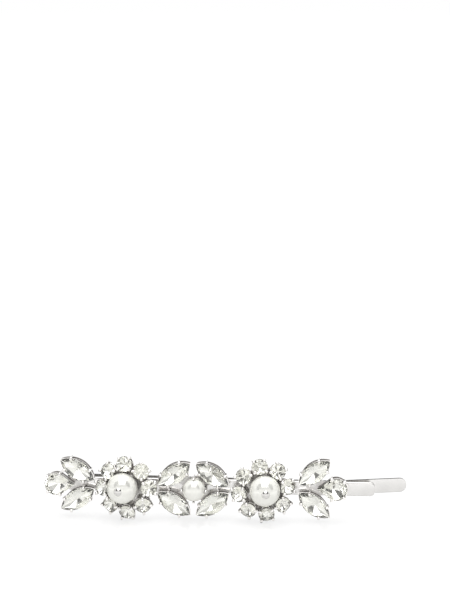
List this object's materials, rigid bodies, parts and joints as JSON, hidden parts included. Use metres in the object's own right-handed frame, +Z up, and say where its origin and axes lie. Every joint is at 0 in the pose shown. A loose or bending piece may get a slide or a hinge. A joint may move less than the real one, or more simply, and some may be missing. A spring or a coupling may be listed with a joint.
{
  "type": "hair slide",
  "caption": "Flat two-arm spring hair slide with a row of prong-set clear crystals and pearls on its front arm.",
  "frame": {"origin": "midway between the arms' facing sides at the bow's level, on the arms' centre line, behind the middle of the ornament", "axes": "+X from the closed bow to the open tips, -Y out of the decorated side, +Z up across the arms' width"},
  "size_m": [0.0969, 0.0174, 0.0177],
  "materials": {
    "spring_steel": "rhodium-plated spring strip, satin polished with fine lengthwise drawing lines",
    "rhodium_plate": "bright rhodium plate on cast and stamped settings",
    "clear_crystal": "polished faceted clear crystal with a bright back",
    "faux_pearl": "pearlescent coat, smooth and glossy"
  },
  "bodies": {
    "front_side": {"front_arm": "spring_steel", "spring_bow": "spring_steel", "centre_plate": "rhodium_plate", "left_flower_plate": "rhodium_plate", "right_flower_plate": "rhodium_plate", "left_bud_plate": "rhodium_plate", "right_bud_plate": "rhodium_plate", "centre_pearl_cup": "rhodium_plate", "centre_pearl": "faux_pearl", "left_pearl_seat": "rhodium_plate", "left_flower_pearl": "faux_pearl", "left_pearl_pin": "rhodium_plate", "right_pearl_seat": "rhodium_plate", "right_flower_pearl": "faux_pearl", "right_pearl_pin": "rhodium_plate", "left_petal_cups": "rhodium_plate", "right_petal_cups": "rhodium_plate", "left_petal_crystal_1": "clear_crystal", "left_petal_crystal_2": "clear_crystal", "left_petal_crystal_3": "clear_crystal", "left_petal_crystal_4": "clear_crystal", "left_petal_crystal_5": "clear_crystal", "left_petal_crystal_6": "clear_crystal", "left_petal_crystal_7": "clear_crystal", "left_petal_crystal_8": "clear_crystal", "right_petal_crystal_1": "clear_crystal", "right_petal_crystal_2": "clear_crystal", "right_petal_crystal_3": "clear_crystal", "right_petal_crystal_4": "clear_crystal", "right_petal_crystal_5": "clear_crystal", "right_petal_crystal_6": "clear_crystal", "right_petal_crystal_7": "clear_crystal", "right_petal_crystal_8": "clear_crystal", "mid_upper_left_setting": "rhodium_plate", "mid_upper_left_navette": "clear_crystal", "mid_upper_right_setting": "rhodium_plate", "mid_upper_right_navette": "clear_crystal", "mid_lower_left_setting": "rhodium_plate", "mid_lower_left_navette": "clear_crystal", "mid_lower_right_setting": "rhodium_plate", "mid_lower_right_navette": "clear_crystal", "left_bud_upper_setting": "rhodium_plate", "left_bud_upper_navette": "clear_crystal", "left_bud_lower_setting": "rhodium_plate", "left_bud_lower_navette": "clear_crystal", "right_bud_upper_setting": "rhodium_plate", "right_bud_upper_navette": "clear_crystal", "right_bud_lower_setting": "rhodium_plate", "right_bud_lower_navette": "clear_crystal", "left_pear_setting": "rhodium_plate", "left_pear_crystal": "clear_crystal", "right_pear_setting": "rhodium_plate", "right_pear_crystal": "clear_crystal"},
    "rear_side": {"rear_arm": "spring_steel"}
  },
  "joints": [
    {"name": "arm_flex", "type": "hinge", "parent": "front_side", "child": "rear_side", "pos_m": [-0.033, 0, 0], "axis": [0, 0, 1], "range_deg": [0, 10], "stiffness_Nm_per_rad": 0.1, "springref_deg": -17.19, "deforming": ["spring_bow"]}
  ]
}
